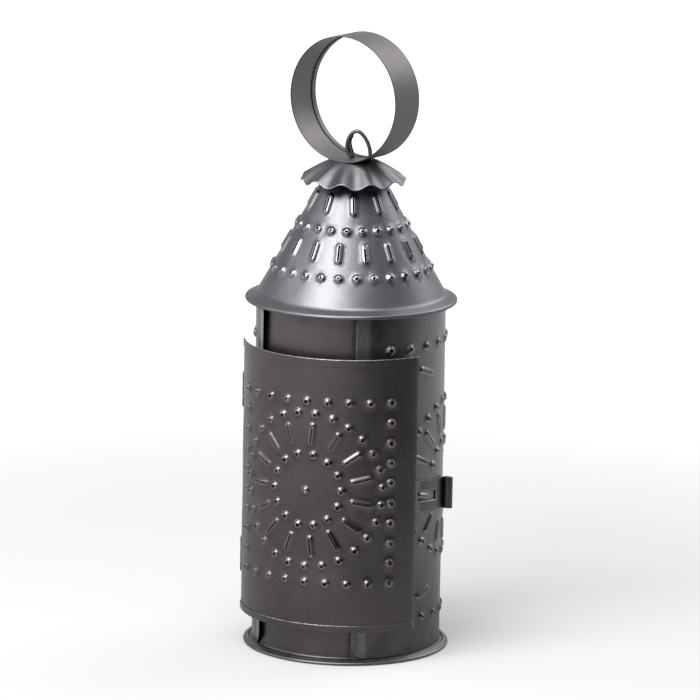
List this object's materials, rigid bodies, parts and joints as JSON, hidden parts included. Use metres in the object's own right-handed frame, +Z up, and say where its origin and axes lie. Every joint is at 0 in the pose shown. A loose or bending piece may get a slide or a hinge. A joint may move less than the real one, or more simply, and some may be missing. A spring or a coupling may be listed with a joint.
{
  "type": "punched tin lantern",
  "caption": "Sheet metal candle lantern: a round punched body with a curved hinged door, a punched cone roof, a ruffled cap and a flat ring handle.",
  "frame": {"origin": "centre of the base's underside, the face that the lantern stands on", "axes": "+Z up along the body's axis, -Y out through the middle of the door, +X toward the latch"},
  "size_m": [0.1278, 0.1295, 0.3729],
  "materials": {
    "tin": "blackened tin plate, satin, with soft highlights",
    "dark_tin": "blackened tin plate, satin, darker where it is handled and soldered",
    "inner_tin": "blackened tin plate, satin, a little lighter and warmer",
    "wire": "blackened soft iron wire, semi-gloss"
  },
  "bodies": {
    "lantern": {"base_disc": "dark_tin", "base_collar": "inner_tin", "body_shell": "tin", "roof_collar": "inner_tin", "roof_cone": "tin", "ruffle_cap": "tin", "ring_handle": "tin", "wire_eye": "wire", "upper_hinge_body_leaf": "dark_tin", "upper_hinge_pin": "wire", "lower_hinge_body_leaf": "dark_tin", "lower_hinge_pin": "wire", "drip_pan": "inner_tin", "candle_cup": "inner_tin"},
    "door": {"door_panel": "tin", "latch_strap": "dark_tin", "upper_hinge_door_leaf": "dark_tin", "lower_hinge_door_leaf": "dark_tin"}
  },
  "joints": [
    {"name": "door_swing", "type": "hinge", "parent": "lantern", "child": "door", "pos_m": [-0.05758, -0.02564, 0.10435], "axis": [0, 0, -1], "range_deg": [0, 150]}
  ]
}
